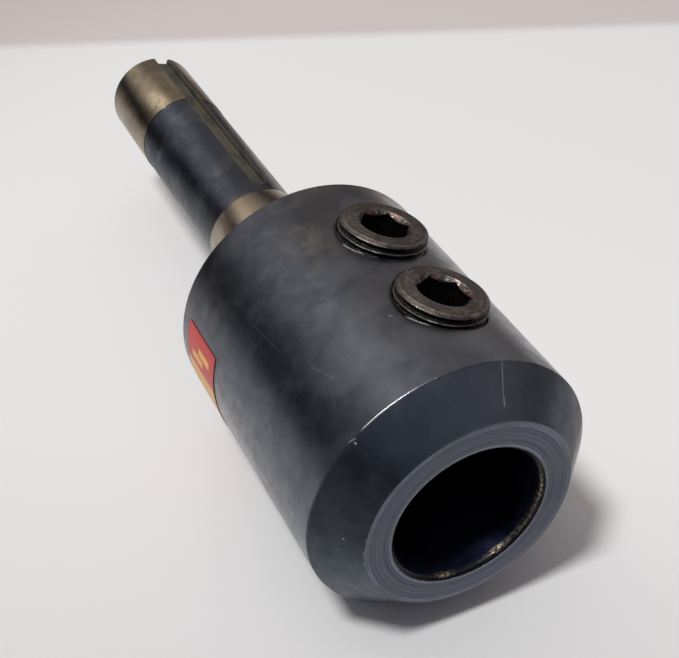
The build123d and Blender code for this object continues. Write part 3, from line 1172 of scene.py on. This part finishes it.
def make_screw(name, screws, along, tip_height, key_turn, material, body_name, node):
    """One flat-point socket set screw, with its thread, socket and rounded rim."""
    crest = screws.thread_diameter / 2 - screws.running_gap
    whole, rim, point = screws.screw_length, screws.rim_chamfer, screws.point_chamfer
    beyond = 0.3 * MILLIMETRE
    base = screw_frame(screws, along, tip_height)
    top = screw_frame(screws, along, tip_height + whole)
    piece = turned(name, [
        (0.0, 0.0, 0.0, 0),
        (crest - point, 0.0, 0.0002, 0),
        (crest + beyond, point + beyond, 0.0, 0),
        (crest + beyond, whole - rim - beyond, 0.0, 0),
        (crest - 0.35 * rim, whole - 0.5 * rim, 0.0004, 0),
        (crest - 1.25 * rim, whole, 0.0006, 0),
        (0.0, whole, 0.0, 0),
    ], SCREW_STEPS, base, (material,))
    turns = round(whole / screws.thread_pitch) + 3
    rod = threaded_rod(
        "thread", base, material, Crest_radius=crest,
        Root_radius=crest - SCREW_THREAD_DEPTH * screws.thread_pitch, Pitch=screws.thread_pitch,
        Turns=turns, Steps_a_turn=96, Base_height=-1.5 * screws.thread_pitch)
    combine(piece, rod, "INTERSECT")
    combine(piece, hex_tool(screws, key_turn, top))
    flat = screws.key_flats / 2
    mouth = screws.mouth_width / 2
    # the drill's point starts a little above the hex's floor, so the two never share a plane
    clear = 0.1 * MILLIMETRE
    point_rim, point_top = flat - clear, clear - screws.socket_depth
    half_point = radians(59.0)
    combine(piece, turned("point tool", [
        (0.0, point_top - point_rim / tan(half_point), 0.0, 0),
        (point_rim, point_top, 0.0, 0),
        (0.0, point_top + 0.5 * MILLIMETRE, 0.0, 0)], CONE_STEPS, top))
    combine(piece, turned("mouth tool", [
        (0.0, -mouth, 0.0, 0),
        (mouth, 0.0, 0.0004, 0),
        (mouth + 0.0005, 0.0004, 0.0, 0),
        (0.0, 0.0004, 0.0, 0)], CONE_STEPS, top))
    tidy_mesh(piece)
    # each point's place in the screw's own frame, for the finish
    place = piece.data.attributes.new(SCREW_PLACE, "FLOAT_VECTOR", "POINT")
    into = base.inverted()
    numbers = [number for vertex in piece.data.vertices for number in into @ vertex.co]
    place.data.foreach_set("vector", numbers)
    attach(piece, body_name)
    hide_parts(node)


def make_label(body, label, colours):
    """The vinyl label: a thin sheet bent round the head, with small round corners."""
    head = body.head_diameter / 2
    shell = bmesh.new()
    outline = []
    far_down, far_over = label.wrap - label.corner, label.width - label.corner
    corner_steps = 4
    for quarter, (down, over) in enumerate((
            (label.corner, label.corner), (far_down, label.corner), (far_down, far_over),
            (label.corner, far_over))):
        for step in range(corner_steps + 1):
            turn = radians(180.0 + 90.0 * quarter + 90.0 / corner_steps * step)
            outline.append(shell.verts.new((
                down + label.corner * cos(turn), over + label.corner * sin(turn), 0.0)))
    shell.faces.new(outline)
    cuts = 64
    for step in range(1, cuts):
        bmesh.ops.bisect_plane(
            shell, geom=shell.verts[:] + shell.edges[:] + shell.faces[:], dist=1e-7,
            plane_co=(label.wrap * step / cuts, 0, 0), plane_no=(1, 0, 0))
    lifted = bmesh.ops.extrude_face_region(shell, geom=shell.faces[:], use_keep_orig=True)
    for part in lifted["geom"]:
        if isinstance(part, bmesh.types.BMVert):
            part.co.z = label.thickness
    uv = shell.loops.layers.uv.new("label")
    for face in shell.faces:
        for loop in face.loops:
            loop[uv].uv = (loop.vert.co.x / label.wrap, loop.vert.co.y / label.width)
    clear = 0.01 * MILLIMETRE
    for vert in shell.verts:
        turn = label.top_angle - vert.co.x / head
        reach = head + max(vert.co.z, clear)
        vert.co = (reach * sin(turn), label.from_nose + vert.co.y, reach * cos(turn))
    bmesh.ops.recalc_face_normals(shell, faces=shell.faces)
    mesh = bpy.data.meshes.new("head_label")
    shell.to_mesh(mesh)
    shell.free()
    mesh.shade_smooth()
    mesh.set_sharp_from_angle(angle=radians(30.0))
    piece = new_object("head_label", mesh, (label_vinyl("Label vinyl", label, colours),))
    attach(piece, "holder")
    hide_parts("label")


# Stage


def aim(thing, place, towards):
    """Puts a lamp or camera at a place, looking at a point."""
    thing.location = place
    thing.rotation_euler = (Vector(towards) - Vector(place)).to_track_quat("-Z", "Y").to_euler()


def studio_world(colours):
    """Soft light by direction, dim near the floor, and a pale backdrop for the camera."""
    world = bpy.data.worlds.new("Studio")
    world.use_nodes = True
    nodes, link = world.node_tree.nodes, world.node_tree.links.new
    way = nodes.new("ShaderNodeSeparateXYZ")
    link(nodes.new("ShaderNodeTexCoord").outputs["Generated"], way.inputs[0])
    x, y, z = way.outputs

    def ramp(value, low, high):
        made = nodes.new("ShaderNodeMapRange")
        made.interpolation_type = "SMOOTHSTEP"
        link(value, made.inputs[0])
        made.inputs[1].default_value, made.inputs[2].default_value = low, high
        return made.outputs[0]

    def mixed(factor, first, second, kind="MIX"):
        made = nodes.new("ShaderNodeMix")
        made.data_type = "RGBA"
        made.blend_type = kind
        for socket, value in zip((made.inputs[0], made.inputs[6], made.inputs[7]),
                                 (factor, first, second)):
            if isinstance(value, bpy.types.NodeSocket):
                link(value, socket)
            else:
                socket.default_value = (*value, 1.0)
        return made.outputs[2]

    def both(first, second):
        made = nodes.new("ShaderNodeMath")
        made.operation = "MULTIPLY"
        link(first, made.inputs[0])
        link(second, made.inputs[1])
        return made.outputs[0]

    behind = both(both(ramp(z, 0.08, 0.38), ramp(y, -0.4, 0.4)), ramp(x, -0.9, -0.45))
    band = both(behind, both(ramp(x, -0.58, -0.25), ramp(x, 0.08, -0.25)))
    front = both(ramp(y, -0.3, -0.6), ramp(z, 0.12, 0.55))
    light = mixed(behind, colours.light_low, colours.light_high)
    for share, colour in (
        (band, colours.light_band), (ramp(x, 0.5, 0.8), colours.light_side),
        (front, colours.light_front), (ramp(z, 0.78, 1.0), colours.light_top),
    ):
        light = mixed(share, light, colour, "ADD")
    seen = nodes.new("ShaderNodeLightPath").outputs["Is Camera Ray"]
    link(mixed(seen, light, colours.beyond), nodes["Background"].inputs["Color"])
    return world


def make_stage(colours):
    """The floor, the lamp over it, the soft light round it and the camera."""
    scene = bpy.context.scene
    scene.view_settings.view_transform = "Standard"
    rest_level = min(corner[2] for corner in cad_box)
    reach = 4.0
    mesh = bpy.data.meshes.new("floor")
    mesh.from_pydata(
        [(-reach, -reach, rest_level), (reach, -reach, rest_level), (reach, reach, rest_level),
         (-reach, reach, rest_level)], [], [(0, 1, 2, 3)])
    far_edge, far_edge_turn = (0.0924, 0.2492), radians(-21.3)
    floor = new_object("floor", mesh, (
        floor_surface("Pale floor", colours, far_edge, far_edge_turn),))

    scene.world = studio_world(colours)
    # the lamp's pool of light ends outside the frame
    lamp_data = bpy.data.lights.new("Main lamp", "SPOT")
    lamp_distance, lamp_spread, light_on_floor = 2.0, radians(5.3), 2.38
    lamp_data.energy = light_on_floor * 4 * pi * lamp_distance ** 2
    lamp_data.shadow_soft_size = lamp_distance * tan(lamp_spread)
    lamp_data.spot_size = 2 * atan(POOL_RADIUS / lamp_distance)
    lamp_data.spot_blend = 0.35
    lamp_data.color = (0.985, 1.0, 0.995)
    lamp = bpy.data.objects.new("Main lamp", lamp_data)
    scene.collection.objects.link(lamp)
    pool_centre = Vector((POOL_X, POOL_Y, rest_level))
    towards_lamp = Vector((-0.435, -0.165, 1.0)).normalized()
    aim(lamp, pool_centre + towards_lamp * lamp_distance, pool_centre)

    camera_data = bpy.data.cameras.new("Camera")
    camera_data.lens = 64.75
    camera_data.sensor_width = 36.0
    camera_data.clip_start = 0.01
    camera = bpy.data.objects.new("Camera", camera_data)
    scene.collection.objects.link(camera)
    turn, rise = radians(-25.673), radians(39.013)
    back_way = Vector((sin(turn) * cos(rise), -cos(turn) * cos(rise), sin(rise)))
    place = Vector((-0.08924, -0.12918, 0.17062))
    aim(camera, place, place - back_way)
    scene.camera = camera


# Operators, panel and registration


class SCENE_OT_holder_stage(bpy.types.Operator):
    """Adds the floor, the lamp, the soft light round them and the camera"""
    bl_idname = "scene.holder_stage"
    bl_label = "Stage"

    def execute(self, context):
        make_stage(context.scene.holder_finish)
        return {"FINISHED"}


class MESH_OT_holder_body(bpy.types.Operator):
    """Builds the holder body: head, taper and shank with their holes and keyway"""
    bl_idname = "mesh.holder_body"
    bl_label = "Holder body"

    def execute(self, context):
        scene = context.scene
        make_body(scene.holder_body, scene.holder_screws, scene.holder_finish)
        return {"FINISHED"}


class MESH_OT_holder_set_screws(bpy.types.Operator):
    """Builds the two side screws with their threads and hex sockets"""
    bl_idname = "mesh.holder_set_screws"
    bl_label = "Set screws"

    def execute(self, context):
        screws = context.scene.holder_screws
        material = screw_bronze("Set screw bronze", screws, context.scene.holder_finish)
        for name, along, tip, turn in (
            ("set_screw_front", screws.front_along, screws.front_tip, screws.front_turn),
            ("set_screw_rear", screws.rear_along, screws.rear_tip, screws.rear_turn),
        ):
            make_screw(name + "_threaded", screws, along, tip, turn, material, name, name)
        return {"FINISHED"}


class MESH_OT_holder_label(bpy.types.Operator):
    """Builds the vinyl label on the head"""
    bl_idname = "mesh.holder_label"
    bl_label = "Label"

    def execute(self, context):
        scene = context.scene
        make_label(scene.holder_body, scene.holder_label, scene.holder_finish)
        return {"FINISHED"}


OPERATORS = (
    SCENE_OT_holder_stage, MESH_OT_holder_body, MESH_OT_holder_set_screws, MESH_OT_holder_label)
GROUPS = {
    "holder_body": HolderBodySizes, "holder_screws": SetScrewSizes, "holder_label": LabelSizes,
    "holder_finish": HolderFinish,
}


class VIEW3D_PT_holder(bpy.types.Panel):
    bl_idname = "VIEW3D_PT_holder"
    bl_label = "End mill holder"
    bl_space_type = "VIEW_3D"
    bl_region_type = "UI"
    bl_category = "Holder"

    def draw(self, context):
        for operator in OPERATORS:
            self.layout.operator(operator.bl_idname)
        for name, group in GROUPS.items():
            box = self.layout.box()
            for key in group.__annotations__:
                box.prop(getattr(context.scene, name), key)


def register():
    for kind in (*GROUPS.values(), *OPERATORS, VIEW3D_PT_holder):
        bpy.utils.register_class(kind)
    for name, group in GROUPS.items():
        setattr(bpy.types.Scene, name, PointerProperty(type=group))


def unregister():
    for name in GROUPS:
        delattr(bpy.types.Scene, name)
    for kind in reversed((*GROUPS.values(), *OPERATORS, VIEW3D_PT_holder)):
        bpy.utils.unregister_class(kind)


def main():
    register()
    bpy.ops.scene.holder_stage()
    bpy.ops.mesh.holder_body()
    bpy.ops.mesh.holder_set_screws()
    bpy.ops.mesh.holder_label()


if __name__ == "__main__":
    main()
